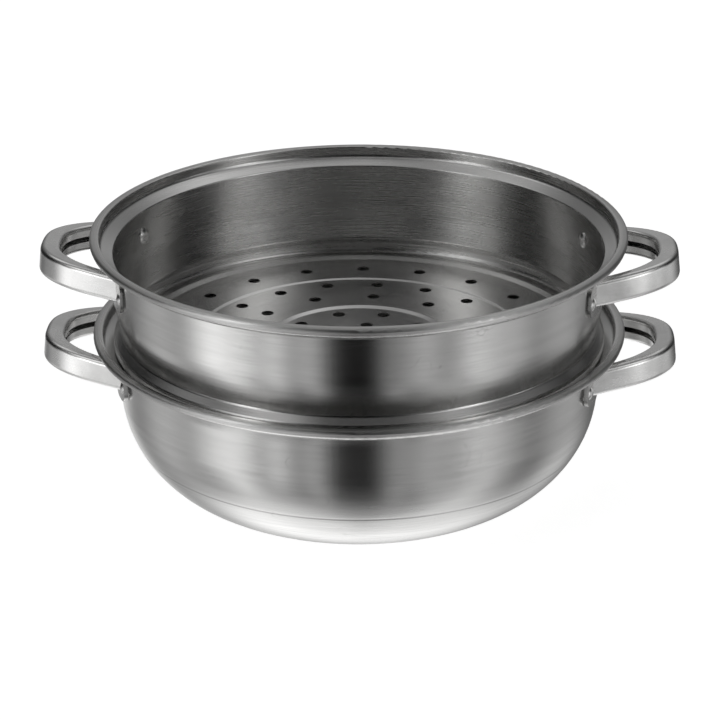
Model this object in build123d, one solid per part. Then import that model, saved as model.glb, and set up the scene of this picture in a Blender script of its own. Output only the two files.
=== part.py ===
from build123d import *
import math
import os

# Two-level stainless steamer pot: a round-bottomed lower pot and a perforated
# steamer tier that rests in the recess of the pot's rim. Each vessel carries
# two hollow loop handles. Every handle end is held by a riveted lug.
# Frame: origin at the centre of the pot's base, +Z up, handles along +X and -X.
# All sizes are in millimetres.

# ---- driving dimensions -------------------------------------------------
RIM_R = 147.3            # outer corner radius of both rims
RIM_HEM_R = 146.1        # radius of the hem's lower edge
RIM_HEM_H = 3.3          # height of the turned-down hem
RECESS_R = 141.4         # radius of the lid recess wall (28 cm lid)
RECESS_D = 6.0           # depth of the recess at its outer side
LEDGE_R = 134.1          # inner edge of the seat ledge
LEDGE_D = 9.6            # depth of the ledge's inner edge below the rim
POT_T = 0.8              # sheet of the lower pot
TIER_T = 0.7             # sheet of the steamer tier
POT_H = 89.5             # rim height of the lower pot above the table
STACK_H = 144.8          # rim height of the steamer tier above the table

WALL_R = 133.5           # inner radius of both side walls under the ledge
BASE_R = 95.4            # radius where the pot's flat base ends
BOWL_V = (129.9, 17.56)  # corner of the bowl's outer construction lines
BOWL_R = 62.1            # outer radius of the bowl's curve
BOWL_TOP = (134.3, 77.0)  # outer end of the bowl's slightly conical wall

NECK_R = 130.5           # inner radius of the tier's neck above its seat bead
NECK_Z = -54.2           # its height below the tier rim
BEAD_R = 134.9           # inner radius of the seat bead
BEAD_TOP_Z = -58.4
BEAD_LOW_Z = -64.95
CREST_R = 127.2          # low crest between the seat bead and the floor
CREST_Z = -63.5
FLOOR_R = 123.4          # where the flat floor starts
FLOOR_1 = -65.2          # perforated floor, outer zone
FLOOR_2 = -65.85         # middle zone
FLOOR_3 = -66.75         # centre zone
STEP_1 = (93.8, 91.9)    # radii of the shallow step between zones 1 and 2
STEP_2 = (51.6, 48.9)    # radii of the step between zones 2 and 3

HOLE_D = 7.0             # steam holes
HOLE_RINGS = (           # radius, count, phase in degrees
    (108.3, 20, 91.0),
    (84.3, 18, 85.0),
    (65.6, 12, 85.0),
    (41.3, 10, 72.5),
    (24.0, 6, 82.0),
)

HANDLE_H = 15.0          # height of the handle's section
HANDLE_T = 1.0           # sheet of the handle
HANDLE_TILT = 6.2        # upward tilt of the loop, degrees
HANDLE_PIVOT_X = 139.65  # where the tilt leaves the height unchanged
TIER_HANDLE_Z = -11.4    # top face of the tier's handles at the pivot, below its rim
POT_HANDLE_Z = -7.6      # the same for the pot's handles
HANDLE_OUT = ((174.2, 0.0), (172.3, 15.2), (163.4, 27.8), (149.6, 36.8), (124.0, 46.6))
HANDLE_IN = ((163.2, 0.0), (161.4, 13.2), (156.2, 21.4), (145.9, 30.0), (121.0, 40.2))
SEAM_H = 3.2             # open seam along the handle's inner side

LUG_R0 = 133.9           # lug pads start inside the wall's sheet and are cut to its outer face
LUG_R1 = 136.0           # outer face of every pad
RIM_GAP = 0.25           # gap between the handles and the underside of the rim
LUG_AZ = 19.4            # direction of the pad's centre from the handle axis
LUG_W = 19.0             # width of the pad
LUG_H = 18.6             # height of the pad
LUG_TONGUE = 13.0        # how far the tongue enters the handle
RIVET_AZ = 21.5          # direction of each rivet from the handle axis
RIVET_DROP = 11.2        # rivet height below the handle's top face at the wall
RIVET_SHANK_R = 2.25
RIVET_HEAD_R = 4.5
RIVET_HEAD_T = 1.7
RIVET_TAIL_R = 3.3
RIVET_TAIL_T = 1.1


# ---- profile helpers ----------------------------------------------------
def unit(ax, ay, bx, by):
    d = math.hypot(bx - ax, by - ay)
    return (bx - ax) / d, (by - ay) / d


def offset_path(pts, t):
    """Move an open polyline t to the right of its direction; fillet radii
    grow or shrink so that the two paths stay parallel."""
    out = []
    n = len(pts)
    for i, (x, y, rad) in enumerate(pts):
        if i == 0:
            ux, uy = unit(x, y, pts[1][0], pts[1][1])
            out.append((x + uy * t, y - ux * t, 0.0))
        elif i == n - 1:
            ux, uy = unit(pts[i - 1][0], pts[i - 1][1], x, y)
            out.append((x + uy * t, y - ux * t, 0.0))
        else:
            ax, ay = unit(pts[i - 1][0], pts[i - 1][1], x, y)
            bx, by = unit(x, y, pts[i + 1][0], pts[i + 1][1])
            nx, ny = ay + by, -(ax + bx)
            k = t / (1.0 + ax * bx + ay * by)
            turn = ax * by - ay * bx
            grow = t if turn > 0 else -t
            out.append((x + nx * k, y + ny * k, max(0.05, rad + grow) if rad > 0 else 0.0))
    return out


def path_edges(pts):
    """Lines with tangent arcs at every vertex that has a radius, in the XZ plane."""
    edges = []
    cur = (pts[0][0], pts[0][1])
    for i in range(1, len(pts) - 1):
        x, y, rad = pts[i]
        ax, ay = unit(pts[i - 1][0], pts[i - 1][1], x, y)
        bx, by = unit(x, y, pts[i + 1][0], pts[i + 1][1])
        dot = max(-1.0, min(1.0, ax * bx + ay * by))
        ang = math.acos(dot)
        if rad <= 0 or ang < 1e-4:
            edges.append(Line((cur[0], 0, cur[1]), (x, 0, y)))
            cur = (x, y)
            continue
        tl = rad * math.tan(ang / 2)
        p0 = (x - ax * tl, y - ay * tl)
        p1 = (x + bx * tl, y + by * tl)
        mx, my = (bx - ax), (by - ay)
        ml = math.hypot(mx, my)
        mx, my = mx / ml, my / ml
        c = (x + mx * rad / math.cos(ang / 2), y + my * rad / math.cos(ang / 2))
        mid = (c[0] - mx * rad, c[1] - my * rad)
        if math.hypot(p0[0] - cur[0], p0[1] - cur[1]) > 1e-5:
            edges.append(Line((cur[0], 0, cur[1]), (p0[0], 0, p0[1])))
        edges.append(ThreePointArc((p0[0], 0, p0[1]), (mid[0], 0, mid[1]), (p1[0], 0, p1[1])))
        cur = p1
    x, y, _ = pts[-1]
    if math.hypot(x - cur[0], y - cur[1]) > 1e-5:
        edges.append(Line((cur[0], 0, cur[1]), (x, 0, y)))
    return edges


def sheet_of_revolution(inner, t, z0):
    """A sheet of thickness t whose top or inside surface is the path."""
    inner = [(x, y + z0, r) for x, y, r in inner]
    outer = offset_path(inner, -t)
    cap0 = Line((inner[0][0], 0, inner[0][1]), (outer[0][0], 0, outer[0][1]))
    cap1 = Line((inner[-1][0], 0, inner[-1][1]), (outer[-1][0], 0, outer[-1][1]))
    wire = Wire(path_edges(inner) + path_edges(outer) + [cap0, cap1])
    return revolve(Face(wire), axis=Axis.Z, revolution_arc=360)


def rim_path():
    """Hem, lip, lid recess and seat ledge, shared by both vessels."""
    return [
        (RIM_HEM_R, -RIM_HEM_H, 0.0),
        (RIM_R, 0.0, 1.5),
        (RECESS_R, 0.0, 0.9),
        (RECESS_R, -RECESS_D, 2.4),
        (LEDGE_R, -LEDGE_D, 0.9),
    ]


def polar(r, az, z):
    a = math.radians(az)
    return r * math.cos(a), r * math.sin(a), z


def radial_plane(r, az, z):
    a = math.radians(az)
    return Plane(origin=polar(r, az, z), x_dir=(-math.sin(a), math.cos(a), 0),
                 z_dir=(math.cos(a), math.sin(a), 0))


# ---- vessels ------------------------------------------------------------
# lower pot: its outer bowl lines are known, so the inside is their parallel
outer_low = [(BOWL_TOP[0], BOWL_TOP[1] - POT_H, 30.0), (BOWL_V[0], BOWL_V[1] - POT_H, BOWL_R),
             (BASE_R, -POT_H, 5.0), (0.0, -POT_H, 0.0)]
ref = [(BOWL_TOP[0], BOWL_TOP[1] - POT_H + 20.0, 0.0)] + outer_low
inner_low = offset_path(ref, POT_T)[1:]
pot = sheet_of_revolution(rim_path() + inner_low, POT_T, POT_H)

tier_path = rim_path() + [
    (WALL_R, -38.0, 40.0),
    (NECK_R, NECK_Z, 2.2),
    (BEAD_R, BEAD_TOP_Z, 1.9),
    (BEAD_R, BEAD_LOW_Z, 2.6),
    (CREST_R, CREST_Z, 1.6),
    (FLOOR_R, FLOOR_1, 3.0),
    (STEP_1[0], FLOOR_1, 1.2),
    (STEP_1[1], FLOOR_2, 1.2),
    (STEP_2[0], FLOOR_2, 1.2),
    (STEP_2[1], FLOOR_3, 1.2),
    (0.0, FLOOR_3, 0.0),
]
tier = sheet_of_revolution(tier_path, TIER_T, STACK_H)

drills = [Pos(0, 0, STACK_H + FLOOR_3) * Cylinder(HOLE_D / 2, 8)]
for r, n, ph in HOLE_RINGS:
    for k in range(n):
        x, y, _ = polar(r, ph + 360.0 * k / n, 0)
        drills.append(Pos(x, y, STACK_H + FLOOR_2) * Cylinder(HOLE_D / 2, 8))
tier = tier - drills


# ---- handles, lugs and rivets, built for the +X side ----------------------
def loop_face(out_pts, in_pts, d=0.0, reach=0.0):
    """Plan of the loop between its outer and inner outlines, moved in by d."""
    def full(pts, s):
        n = len(pts)
        res = []
        for i, (u, v) in enumerate(pts):
            if i == 0:
                tx, ty = 0.0, 1.0
            else:
                a = pts[i - 1]
                b = pts[i + 1] if i + 1 < n else pts[i]
                tx, ty = unit(a[0], a[1], b[0], b[1])
            res.append((u - ty * s, v + tx * s))
        left = [(u, -v) for u, v in reversed(res[1:])]
        return left + res
    o = full(out_pts, d)
    i = full(in_pts, -d)
    so = Spline(*[(u, v, 0) for u, v in o])
    si = Spline(*[(u, v, 0) for u, v in i])
    c0 = Line((o[0][0], o[0][1], 0), (i[0][0], i[0][1], 0))
    c1 = Line((o[-1][0], o[-1][1], 0), (i[-1][0], i[-1][1], 0))
    return Face(Wire([so, c1, si, c0]))


def place_handle(shape, top_z):
    tilt = Pos(HANDLE_PIVOT_X, 0, top_z) * Rot(0, -HANDLE_TILT, 0) * Pos(-HANDLE_PIVOT_X, 0, 0)
    return tilt * shape


def soft_edges(solid, r_out, r_in):
    """Round the long edges of an extruded loop."""
    long_edges = [e for e in solid.edges() if e.length > 60 and
                  abs(e.center().Z - e.vertices()[0].Z) < 1e-3]
    ordered = sorted(long_edges, key=lambda e: e.length)
    inner, outer = ordered[:2], ordered[2:4]
    solid = fillet(outer, r_out)
    long_edges = [e for e in solid.edges() if e.length > 60 and abs(e.position_at(0.5).X - HANDLE_IN[0][0]) < 1.6
                  and abs(e.position_at(0.5).Y) < 1.0]
    return fillet(long_edges, r_in)


def build_handle(top_z):
    body = extrude(loop_face(HANDLE_OUT, HANDLE_IN), amount=-HANDLE_H)
    body = soft_edges(body, 2.8, 2.4)
    core = Pos(0, 0, -HANDLE_T) * extrude(loop_face(HANDLE_OUT, HANDLE_IN, HANDLE_T),
                                          amount=-(HANDLE_H - 2 * HANDLE_T))
    n = len(HANDLE_IN)
    pts = []
    for i, (u, v) in enumerate(HANDLE_IN):
        if i == 0:
            tx, ty = 0.0, 1.0
        else:
            a = HANDLE_IN[i - 1]
            b = HANDLE_IN[i + 1] if i + 1 < n else HANDLE_IN[i]
            tx, ty = unit(a[0], a[1], b[0], b[1])
        pts.append((u + ty * 1.5 * HANDLE_T, v - tx * 1.5 * HANDLE_T))
    sp = [(u, -v) for u, v in reversed(pts[1:])] + pts
    seam_face = Face(Wire([Spline(*[(u, v, 0) for u, v in sp]),
                           Line((sp[-1][0], sp[-1][1], 0), (sp[0][0], sp[0][1], 0))]))
    seam = Pos(0, 0, -(HANDLE_H - SEAM_H) / 2) * extrude(seam_face, amount=-SEAM_H)
    shell = body - core - seam
    shell = place_handle(shell, top_z)
    core = place_handle(core, top_z)
    stop = Pos(0, 0, top_z - 10) * Cylinder(LUG_R1, 90)
    return shell - stop, core - stop


def end_z(top_z):
    """Height of the handle's top face where it meets the wall."""
    return top_z + (LUG_R0 - 5.0 - HANDLE_PIVOT_X) * math.tan(math.radians(HANDLE_TILT))


def rim_clearance(rim_z):
    """Space of the rim's underside, with a small gap, that handles stay out of."""
    k = (RECESS_R - LEDGE_R)
    slope = (LEDGE_D - RECESS_D) / k
    drop = POT_T / math.cos(math.atan(slope)) + RIM_GAP
    ra, rb = RECESS_R + POT_T + RIM_GAP, LEDGE_R - 4.0
    za = rim_z - RECESS_D - drop + slope * (ra - RECESS_R)
    zb = rim_z - LEDGE_D - drop - slope * 4.0
    pts = [(rb, rim_z + 2), (ra, rim_z + 2), (ra, za), (rb, zb)]
    e = [Line((pts[i][0], 0, pts[i][1]), (pts[(i + 1) % 4][0], 0, pts[(i + 1) % 4][1])) for i in range(4)]
    return revolve(Face(Wire(e)), axis=Axis.Z, revolution_arc=360)


def build_rivet(az, z):
    pl = radial_plane(0, az, z)
    shank = Pos(0, 0, 0) * extrude(Plane(origin=polar(WALL_R - 2.0, az, z), x_dir=pl.x_dir, z_dir=pl.z_dir)
                                   * Circle(RIVET_SHANK_R), amount=LUG_R1 + 0.6 - WALL_R + 2.0)

    def dome(r, t, base_r, sign):
        # a low dome with its base at radius base_r, sign -1 points to the axis
        rr = (r * r + t * t) / (2 * t)
        centre = polar(base_r + sign * (t - rr), az, z)
        ball = Pos(*centre) * Sphere(rr)
        p = Plane(origin=polar(base_r - sign * 1.0, az, z), x_dir=pl.x_dir, z_dir=pl.z_dir)
        drum = extrude(p * Circle(r), amount=sign * (t + 2.0))
        return ball & drum

    head = dome(RIVET_HEAD_R, RIVET_HEAD_T, WALL_R - 0.25, -1)
    inside = Pos(0, 0, z) * Cylinder(LUG_R0, 60)
    under = extrude(Plane(origin=polar(WALL_R - 0.30, az, z), x_dir=pl.x_dir, z_dir=pl.z_dir)
                    * Circle(RIVET_HEAD_R), amount=2.0)
    head = (head + under) & inside
    tail = dome(RIVET_TAIL_R, RIVET_TAIL_T, LUG_R1, 1)
    keep = Pos(0, 0, z) * Cylinder(LUG_R1, 60)
    skirt = extrude(Plane(origin=polar(LUG_R1 - 0.3, az, z), x_dir=pl.x_dir, z_dir=pl.z_dir)
                    * Circle(RIVET_TAIL_R), amount=0.3)
    tail = (tail + skirt) - keep
    return head + shank + tail


def build_lug(core, top_z, side):
    az = side * LUG_AZ
    zt = end_z(top_z)
    zc = zt - LUG_H / 2 - 0.6
    plate = extrude(radial_plane(LUG_R0 - 6.0, az, zc) * RectangleRounded(LUG_W, LUG_H, 6.0), amount=14.0)
    ring = (Pos(0, 0, zc) * Cylinder(LUG_R1, 60)) - (Pos(0, 0, zc) * Cylinder(LUG_R0, 60))
    pad = plate & ring
    reach = Pos(0, 0, zc) * Cylinder(LUG_R1 + LUG_TONGUE, 90)
    half = Pos(100, side * 100, zc) * Box(200, 200, 200)
    tongue = core & reach & half
    return pad + tongue


def rivet_hole(az, z):
    pl = radial_plane(WALL_R - 6.0, az, z)
    return extrude(pl * Circle(RIVET_SHANK_R), amount=14.0)


def only_solid(shape):
    s = shape.solids()
    if len(s) != 1:
        s = sorted(s, key=lambda q: q.volume)[-1:]
    return s[0]


parts = {}
vessels = {"pot": pot, "steamer": tier}
for vessel, rim_z, drop in (("pot", POT_H, POT_HANDLE_Z), ("steamer", STACK_H, TIER_HANDLE_Z)):
    top_z = rim_z + drop
    shell, core = build_handle(top_z)
    clear = rim_clearance(rim_z)
    zr = end_z(top_z) - RIVET_DROP
    wall = vessels[vessel]
    for az in (RIVET_AZ, -RIVET_AZ, 180 + RIVET_AZ, 180 - RIVET_AZ):
        wall = only_solid(wall - rivet_hole(az, zr))
    # one lug and one rivet at the front end of the right handle; the other
    # ends are its mirror image and both turned half way round the axis
    lug = only_solid(build_lug(core, top_z, -1) - rivet_hole(-RIVET_AZ, zr) - clear - wall)
    rivet = only_solid(build_rivet(-RIVET_AZ, zr) - wall)
    for kind, piece in (("lug", lug), ("rivet", rivet)):
        twin = only_solid(mirror(piece, about=Plane.XZ))
        parts[f"{vessel}_{kind}_right_front"] = piece
        parts[f"{vessel}_{kind}_right_rear"] = twin
        parts[f"{vessel}_{kind}_left_rear"] = Rot(0, 0, 180) * piece
        parts[f"{vessel}_{kind}_left_front"] = Rot(0, 0, 180) * twin
    shell = only_solid(shell - clear)
    parts[f"{vessel}_handle_right"] = shell
    parts[f"{vessel}_handle_left"] = Rot(0, 0, 180) * shell
    parts[f"{vessel}_body"] = only_solid(wall)

os.makedirs("parts", exist_ok=True)
for name in sorted(parts):
    parts[name].label = name
    export_step(parts[name], f"parts/{name}.step")
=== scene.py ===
import bpy
import math
from mathutils import Matrix, Vector

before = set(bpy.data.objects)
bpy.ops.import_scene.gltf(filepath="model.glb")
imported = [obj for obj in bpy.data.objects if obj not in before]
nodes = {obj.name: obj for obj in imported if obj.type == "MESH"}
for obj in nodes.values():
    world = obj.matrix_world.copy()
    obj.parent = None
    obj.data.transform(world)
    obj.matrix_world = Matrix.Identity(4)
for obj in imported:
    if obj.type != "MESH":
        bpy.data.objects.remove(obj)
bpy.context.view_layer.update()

scene = bpy.context.scene
scene.view_settings.view_transform = "Standard"
scene.view_settings.look = "None"


def mm(*v):
    return tuple(x * 0.001 for x in v)


# ---------------------------------------------------------------- materials
class Graph:
    """Small helper that builds shader nodes."""

    def __init__(self, name):
        self.mat = bpy.data.materials.new(name)
        self.mat.use_nodes = True
        self.nt = self.mat.node_tree
        self.nt.nodes.clear()
        self.out = self.node("OutputMaterial")
        self.bsdf = self.node("BsdfPrincipled")
        self.link(self.bsdf.outputs[0], self.out.inputs[0])
        self.coord = self.node("TexCoord").outputs["Object"]

    def node(self, kind):
        return self.nt.nodes.new("ShaderNode" + kind)

    def link(self, a, b):
        self.nt.links.new(a, b)

    def put(self, value, socket):
        if isinstance(value, bpy.types.NodeSocket):
            self.link(value, socket)
        else:
            socket.default_value = value

    def math(self, op, a, b=0.0, clamp=False):
        n = self.node("Math")
        n.operation = op
        n.use_clamp = clamp
        self.put(a, n.inputs[0])
        self.put(b, n.inputs[1])
        return n.outputs[0]

    def split(self, vec):
        n = self.node("SeparateXYZ")
        self.put(vec, n.inputs[0])
        return n.outputs

    def join(self, x, y, z):
        n = self.node("CombineXYZ")
        for v, s in zip((x, y, z), n.inputs):
            self.put(v, s)
        return n.outputs[0]

    def noise(self, vec, scale=1.0, detail=2.0, rough=0.5, w=None):
        n = self.node("TexNoise")
        n.noise_dimensions = "3D" if w is None else "4D"
        self.put(vec, n.inputs["Vector"])
        if w is not None:
            self.put(w, n.inputs["W"])
        n.inputs["Scale"].default_value = scale
        n.inputs["Detail"].default_value = detail
        n.inputs["Roughness"].default_value = rough
        return n.outputs[0]

    def fit(self, v, a, b, c, d, smooth=False):
        n = self.node("MapRange")
        n.clamp = True
        if smooth:
            n.interpolation_type = "SMOOTHSTEP"
        self.put(v, n.inputs[0])
        for x, s in zip((a, b, c, d), n.inputs[1:5]):
            self.put(x, s)
        return n.outputs[0]

    def blend(self, f, a, b):
        n = self.node("Mix")
        n.data_type = "RGBA"
        self.put(f, n.inputs[0])
        self.put((*a, 1) if isinstance(a, tuple) else a, n.inputs[6])
        self.put((*b, 1) if isinstance(b, tuple) else b, n.inputs[7])
        return n.outputs[2]

    def bump(self, height, distance, strength=1.0, normal=None):
        n = self.node("Bump")
        n.inputs["Strength"].default_value = strength
        n.inputs["Distance"].default_value = distance
        self.put(height, n.inputs["Height"])
        if normal is not None:
            self.link(normal, n.inputs["Normal"])
        return n.outputs[0]


def turned_steel(name):
    """Deep-drawn stainless sheet, brushed round its own axis."""
    g = Graph(name)
    x, y, z = g.split(g.coord)
    r = g.math("SQRT", g.math("ADD", g.math("MULTIPLY", x, x), g.math("MULTIPLY", y, y)))
    rs = g.math("MAXIMUM", r, 0.001)
    cx, cy = g.math("DIVIDE", x, rs), g.math("DIVIDE", y, rs)

    def grain(around, across, detail):
        """Noise drawn out round the axis: across is per metre of height or radius."""
        vec = g.join(g.math("MULTIPLY", cx, around), g.math("MULTIPLY", cy, around),
                     g.math("MULTIPLY", z, across))
        return g.noise(vec, detail=detail, w=g.math("MULTIPLY", r, across))

    fine = grain(5.0, 1300.0, 1.0)
    bands = grain(1.6, 260.0, 2.0)
    # marks of the drawing tools, up and down the walls
    drawn = g.noise(g.join(g.math("MULTIPLY", cx, 70.0), g.math("MULTIPLY", cy, 70.0),
                           g.math("MULTIPLY", z, 14.0)), detail=3.0)
    cloud = g.noise(g.coord, scale=22.0, detail=4.0, rough=0.6)
    smear = g.noise(g.coord, scale=6.0, detail=2.0)
    # handling scratches: thin random hairlines
    cell = g.node("TexVoronoi")
    cell.feature = "DISTANCE_TO_EDGE"
    cell.inputs["Scale"].default_value = 34.0
    warp = g.node("VectorMath")
    warp.operation = "ADD"
    g.link(g.coord, warp.inputs[0])
    nv = g.node("TexNoise")
    nv.inputs["Scale"].default_value = 40.0
    g.link(g.coord, nv.inputs["Vector"])
    sc = g.node("VectorMath")
    sc.operation = "SCALE"
    g.link(nv.outputs[1], sc.inputs[0])
    sc.inputs["Scale"].default_value = 0.05
    g.link(sc.outputs[0], warp.inputs[1])
    g.link(warp.outputs[0], cell.inputs["Vector"])
    hair = g.math("MULTIPLY", g.fit(cell.outputs["Distance"], 0.0, 0.012, 1.0, 0.0),
                  g.fit(g.noise(g.coord, scale=55.0, detail=1.0), 0.60, 0.68, 0.0, 1.0))

    tone = g.math("ADD", g.math("MULTIPLY", bands, 0.55), g.math("MULTIPLY", cloud, 0.45))
    colour = g.blend(g.fit(tone, 0.3, 0.7, 0.0, 1.0), (0.66, 0.657, 0.65), (0.77, 0.767, 0.758))
    colour = g.blend(g.math("MULTIPLY", hair, 0.35), colour, (0.42, 0.415, 0.41))
    # crease round the bowl where its curve begins: its darker colour is painted shade, its bump is the real crease
    crease_and_shade = g.math("MULTIPLY", g.fit(r, 0.1235, 0.1240, 0.0, 1.0),
                    g.fit(g.math("ABSOLUTE", g.math("SUBTRACT", z, 0.0300)), 0.0003, 0.0009, 1.0, 0.0))
    # painted shade: the colour is darkened along the crease ring
    colour = g.blend(g.math("MULTIPLY", crease_and_shade, 0.42), colour, (0.30, 0.298, 0.295))
    g.link(colour, g.bsdf.inputs["Base Color"])
    rough = g.math("ADD", g.fit(fine, 0.25, 0.75, ROUGH - 0.035, ROUGH + 0.035),
                   g.fit(smear, 0.3, 0.7, -0.02, 0.03))
    rough = g.math("ADD", rough, g.fit(cloud, 0.35, 0.7, -0.01, 0.02))
    rough_in = g.bsdf.inputs["Roughness"]
    # the surface is turned, so its normal has no part along the brushing
    nx, ny, nz = g.split(g.node("NewGeometry").outputs["Normal"])
    nr = g.math("ADD", g.math("MULTIPLY", nx, cx), g.math("MULTIPLY", ny, cy))
    # the inside of the walls is drawn coarser than the outside
    inside = g.fit(nr, -0.55, -0.85, 0.0, 1.0, smooth=True)
    # the hem and the recess are buffed with a coarser wheel
    hem = g.math("MULTIPLY", g.fit(r, 0.1425, 0.1445, 0.0, 1.0), 0.20)
    g.link(g.math("ADD", hem, g.math("ADD", rough, g.math("MULTIPLY", inside, 0.05))), rough_in)
    true = g.node("VectorMath")
    true.operation = "NORMALIZE"
    g.link(g.join(g.math("MULTIPLY", nr, cx), g.math("MULTIPLY", nr, cy), nz), true.inputs[0])
    n1 = g.bump(fine, 0.000003, normal=true.outputs[0])
    n2 = g.bump(bands, 0.000003, normal=n1)
    n3 = g.bump(drawn, 0.000006, normal=n2)
    n4 = g.bump(g.math("ADD", hair, g.math("MULTIPLY", crease_and_shade, 8.0)), -0.00001, normal=n3)
    g.link(n4, g.bsdf.inputs["Normal"])
    g.bsdf.inputs["Metallic"].default_value = 1
    g.bsdf.inputs["Anisotropic"].default_value = 0.9
    g.bsdf.inputs["Anisotropic Rotation"].default_value = 0.25
    tan = g.node("Tangent")
    tan.direction_type = "RADIAL"
    tan.axis = "Z"
    g.link(tan.outputs[0], g.bsdf.inputs["Tangent"])
    return g.mat


def polished_steel(name, rough, light, dark, wave):
    """Pressed and buffed stainless: soft waves, faint buffing lines, dulled patches."""
    g = Graph(name)
    cloud = g.noise(g.coord, scale=45.0, detail=4.0, rough=0.6)
    swell = g.noise(g.coord, scale=28.0, detail=1.0)
    buff = g.node("Mapping")
    g.link(g.coord, buff.inputs[0])
    buff.inputs["Scale"].default_value = (60, 160, 2200)
    lines = g.noise(buff.outputs[0], detail=2.0)
    pits = g.noise(g.coord, scale=900.0, detail=2.0, rough=0.7)
    colour = g.blend(g.fit(cloud, 0.3, 0.7, 0.0, 1.0), dark, light)
    g.link(colour, g.bsdf.inputs["Base Color"])
    ro = g.math("ADD", g.fit(cloud, 0.3, 0.75, rough - 0.03, rough + 0.05),
                g.fit(lines, 0.3, 0.7, -0.015, 0.02))
    g.link(ro, g.bsdf.inputs["Roughness"])
    n1 = g.bump(swell, wave)
    n2 = g.bump(lines, 0.000008, normal=n1)
    n3 = g.bump(pits, 0.000012, normal=n2)
    g.link(n3, g.bsdf.inputs["Normal"])
    g.bsdf.inputs["Metallic"].default_value = 1
    return g.mat


ROUGH = 0.205
steel = turned_steel("vessel_steel")
handle_mat = polished_steel("handle_steel", 0.245, (0.92, 0.917, 0.91), (0.74, 0.737, 0.73), 0.00045)
lug_mat = polished_steel("lug_steel", 0.27, (0.64, 0.637, 0.63), (0.50, 0.497, 0.49), 0.00045)
rivet_mat = polished_steel("rivet_steel", 0.24, (0.92, 0.917, 0.91), (0.78, 0.777, 0.77), 0.0002)
for name, ob in nodes.items():
    mat = (steel if name.endswith("body") else handle_mat if "handle" in name
           else lug_mat if "lug" in name else rivet_mat)
    for s in ob.material_slots:
        s.material = mat

# ------------------------------------------------------------------- camera
AZ = math.radians(2.4)
turn = Matrix.Rotation(AZ, 3, "Z")
PITCH, ROLL, YAW = 0.400622, -0.00447148, 0.00033891
eye = turn @ Vector((0, -1.3382, 0.4885)) + Vector((0, 0, 0.1448))
fw = Vector((math.sin(YAW) * math.cos(PITCH), math.cos(YAW) * math.cos(PITCH), -math.sin(PITCH)))
r = fw.cross(Vector((0, 0, 1))).normalized()
u = r.cross(fw)
rr = turn @ (r * math.cos(ROLL) + u * math.sin(ROLL))
uu = turn @ (u * math.cos(ROLL) - r * math.sin(ROLL))
fw = turn @ fw
cam_data = bpy.data.cameras.new("camera")
cam_data.sensor_width = 36
cam_data.lens = 2606.1377 * 36 / 720
cam_data.clip_start = 0.05
cam_data.clip_end = 50
cam = bpy.data.objects.new("camera", cam_data)
scene.collection.objects.link(cam)
rot = Matrix((rr, uu, -fw)).transposed()
cam.matrix_world = Matrix.Translation(eye) @ rot.to_4x4()
scene.camera = cam

# -------------------------------------------------------------------- floor
floor_mesh = bpy.data.meshes.new("floor")
s = 6.0
floor_mesh.from_pydata([(-s, -s, -0.0004), (s, -s, -0.0004), (s, s, -0.0004), (-s, s, -0.0004)], [], [(0, 1, 2, 3)])
floor = bpy.data.objects.new("floor", floor_mesh)
scene.collection.objects.link(floor)
floor_mat = bpy.data.materials.new("floor_white")
floor_mat.use_nodes = True
nt = floor_mat.node_tree
nt.nodes.clear()
out = nt.nodes.new("ShaderNodeOutputMaterial")
add = nt.nodes.new("ShaderNodeAddShader")
glow = nt.nodes.new("ShaderNodeEmission")
glow.inputs[0].default_value = (1, 1, 1, 1)
glow.inputs[1].default_value = 0.80
dif = nt.nodes.new("ShaderNodeBsdfDiffuse")
dif.inputs[0].default_value = (0.9, 0.9, 0.9, 1)
nt.links.new(glow.outputs[0], add.inputs[0])
nt.links.new(dif.outputs[0], add.inputs[1])
nt.links.new(add.outputs[0], out.inputs[0])
floor_mesh.materials.append(floor_mat)
floor.visible_glossy = False

# ------------------------------------------------------------------- lights
# soft studio panels far away: azimuth from the camera's side (+ is right) and
# elevation of the middle, softness across and up (degrees), strength
PANELS = [
    (180, -57, 70, 18, 0.25),
    (0, -90, 0, 18, 0.85),
    (-58, -80, 35, 38, 0.43),
    (68, -80, 35, 24, 0.46),
    (-122, -65, 60, 14, 0.86),
    (163, -65, 60, 14, 1.10),
    (-122, -38, 35, 14, 0.18),
    (-64, -38, 12, 14, 0.70),
    (-21, -38, 7, 16, 0.27),
    (19, -38, 7, 16, 0.31),
    (42, -38, 12, 14, 0.41),
    (68, -38, 16, 38, 0.58),
    (133, -38, 22, 14, 0.60),
    (-167, -26, 22, 14, 0.87),
    (-107, -26, 22, 14, 0.49),
    (-40, -26, 8, 14, 0.76),
    (-72, -14, 13, 16, 1.40),
    (-25, -16, 9, 16, 0.50),
    (12, -16, 5, 16, 0.16),
    (29, -16, 9, 16, 0.60),
    (103, -14, 22, 14, 0.55),
    (-52, 0, 8, 14, 3.16),
    (48, 0, 8, 14, 0.92),
    (54, 0, 8, 14, 1.96),
    (78, 0, 8, 14, 0.71),
    (48, 12, 16, 14, 0.16),
    (178, 12, 22, 14, 0.28),
    (-58, 40, 16, 14, 1.32),
    (48, 40, 16, 14, 0.65),
    (60, 40, 16, 14, 0.85),
    (-122, 55, 22, 14, 0.95),
    (-52, 55, 16, 24, 0.32),
    (118, 55, 22, 14, 0.45),
    (148, 55, 22, 14, 0.52),
    (178, 55, 35, 38, 0.35),
    (0, 90, 0, 20, 0.31),
]

world = bpy.data.worlds.new("studio")
scene.world = world
world.use_nodes = True
nt = world.node_tree
nt.nodes.clear()
N, K = nt.nodes.new, nt.links.new
where = N("ShaderNodeTexCoord").outputs["Generated"]


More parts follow.
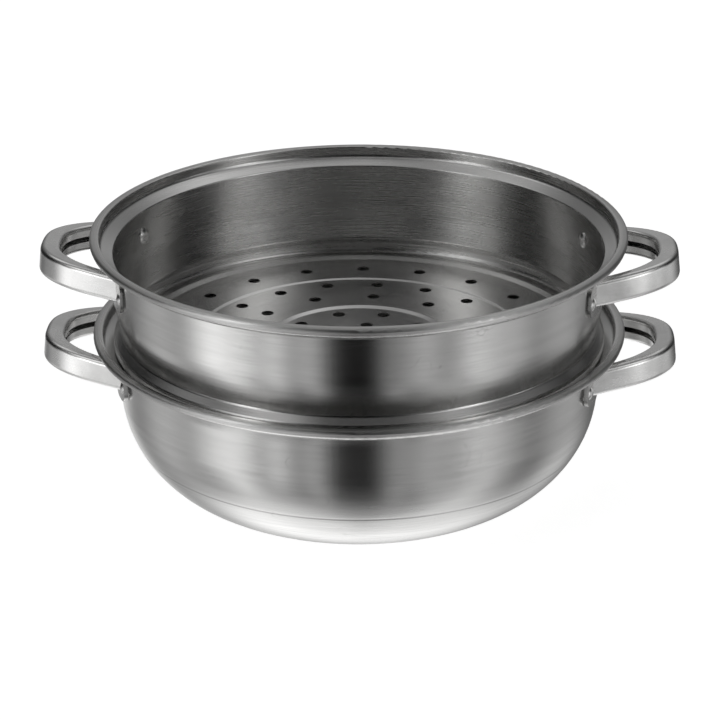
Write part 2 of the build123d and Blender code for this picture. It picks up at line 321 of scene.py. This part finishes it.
def world_math(op, a, b=0.0, c=0.0):
    n = N("ShaderNodeMath")
    n.operation = op
    for v, s in zip((a, b, c), n.inputs):
        if isinstance(v, bpy.types.NodeSocket):
            K(v, s)
        else:
            s.default_value = v
    return n.outputs[0]


def world_dot(a, b):
    n = N("ShaderNodeVectorMath")
    n.operation = "DOT_PRODUCT"
    K(a, n.inputs[0])
    n.inputs[1].default_value = b
    return n.outputs["Value"]


# (east, north, 1) of a direction on the horizon circle, and (el * el, el, 0)
flat = N("ShaderNodeVectorMath")
flat.operation = "MULTIPLY"
K(where, flat.inputs[0])
flat.inputs[1].default_value = (1, 1, 0)
unit = N("ShaderNodeVectorMath")
unit.operation = "NORMALIZE"
K(flat.outputs[0], unit.inputs[0])
ring = N("ShaderNodeVectorMath")
ring.operation = "ADD"
K(unit.outputs[0], ring.inputs[0])
ring.inputs[1].default_value = (0, 0, 1)
el_now = world_math("ARCSINE", world_dot(where, (0, 0, 1)))
high = N("ShaderNodeCombineXYZ")
K(world_math("MULTIPLY", el_now, el_now), high.inputs[0])
K(el_now, high.inputs[1])

total = 0.0
for az, el, wide, tall, power in PANELS:
    a, e, t = math.radians(az), math.radians(el), math.radians(tall)
    k = 2 / math.radians(wide) ** 2 if wide else 0.0
    h = turn @ Vector((math.sin(a), -math.cos(a), 0))
    across = world_dot(ring.outputs[0], (k * h.x, k * h.y, math.log(power) - k - (e / t) ** 2))
    upward = world_dot(high.outputs[0], (-1 / t ** 2, 2 * e / t ** 2, 0))
    total = world_math("ADD", world_math("EXPONENT", world_math("ADD", across, upward)), total)
studio = N("ShaderNodeBackground")
K(total, studio.inputs[0])
plain = N("ShaderNodeBackground")
plain.inputs[0].default_value = (1, 1, 1, 1)
rays = N("ShaderNodeLightPath")
pick = N("ShaderNodeMixShader")
K(rays.outputs["Is Camera Ray"], pick.inputs[0])
K(studio.outputs[0], pick.inputs[1])
K(plain.outputs[0], pick.inputs[2])
world_out = N("ShaderNodeOutputWorld")
K(pick.outputs[0], world_out.inputs[0])
